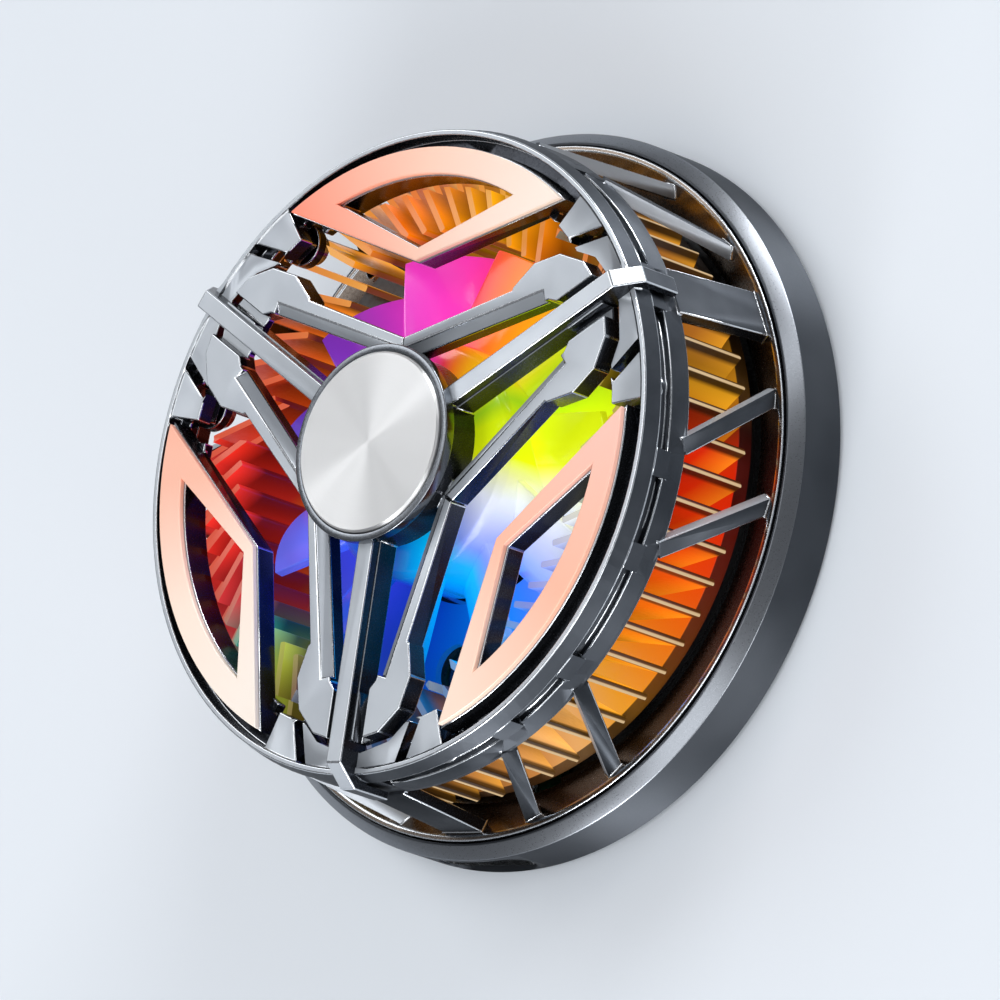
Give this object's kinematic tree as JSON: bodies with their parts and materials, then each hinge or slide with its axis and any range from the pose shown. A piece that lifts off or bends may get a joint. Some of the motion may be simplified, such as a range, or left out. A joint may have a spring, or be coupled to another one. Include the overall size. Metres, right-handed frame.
{
  "type": "phone_cooling_fan",
  "caption": "Round magnetic phone cooler with a three-armed silver grille, peach trims, a spun aluminium cap, a rainbow-lit fan in swept orange fins, and a dark strut cage on a gunmetal base",
  "frame": {"origin": "centre of the contact face that sits on the phone", "axes": "+Z along the fan's axis, out of the front grille; +X and +Y in the contact plane, with an accent trim at +Y and the power inlet at -Y"},
  "size_m": [0.0566, 0.0566, 0.0216],
  "materials": {
    "dark_metal": "glossy gunmetal coating over a moulded body",
    "grille_metal": "satin silver-grey coating, dark on its side walls",
    "peach_trim": "satin anodised peach fading to cream",
    "spun_aluminium": "spun in circles, bright fan-shaped highlights",
    "bezel_chrome": "polished rim",
    "lit_fins": "anodised fins that glow orange and red in the lamps' light",
    "lit_fan": "clear glossy plastic lit in a rainbow of colours",
    "diffuser": "milky plastic lit in a rainbow of colours",
    "bare_aluminium": "fine brushed",
    "silicone": "matt soft silicone",
    "black_plastic": "moulded, fine grain",
    "steel": "plated",
    "magnet_nickel": "nickel plated",
    "circuit_board": "solder mask",
    "ceramic_white": "fired, unglazed",
    "pellet_grey": "sawn semiconductor",
    "foam": "closed-cell foam",
    "wire_red": "insulated wire",
    "lamp_white": "lamp package with a clear top",
    "bronze": "sintered",
    "copper": "enamelled winding wire"
  },
  "bodies": {
    "cooler_body": {"base_housing": "dark_metal", "grip_ring": "silicone", "cold_plate": "bare_aluminium", "ring_magnets": "magnet_nickel", "magnet_yoke": "steel", "usb_shell": "steel", "usb_tongue": "black_plastic", "inlet_board": "circuit_board", "tec_cold_ceramic": "ceramic_white", "tec_pellets": "pellet_grey", "tec_hot_ceramic": "ceramic_white", "foam_gasket": "foam", "lead_wires": "wire_red", "heatsink": "lit_fins", "clamp_screws": "steel", "control_board": "circuit_board", "board_chips": "black_plastic", "rgb_leds": "lamp_white", "light_diffuser": "diffuser", "motor_base": "black_plastic", "motor_screws": "steel", "bearing_bush": "bronze", "stator_core": "steel", "stator_coils": "copper", "cage_frame": "dark_metal", "front_grille": "grille_metal", "grille_screws": "steel", "accent_trim_top": "peach_trim", "accent_trim_left": "peach_trim", "accent_trim_right": "peach_trim", "cap_bezel": "bezel_chrome", "cap_disc": "spun_aluminium"},
    "rotor": {"fan_shaft": "steel", "shaft_clip": "bronze", "rotor_yoke": "steel", "rotor_magnet": "magnet_nickel", "impeller": "lit_fan"}
  },
  "joints": [
    {"name": "fan_spin", "type": "hinge", "parent": "cooler_body", "child": "rotor", "pos_m": [0, 0, 0.0115], "axis": [0, 0, 1], "continuous": true}
  ]
}
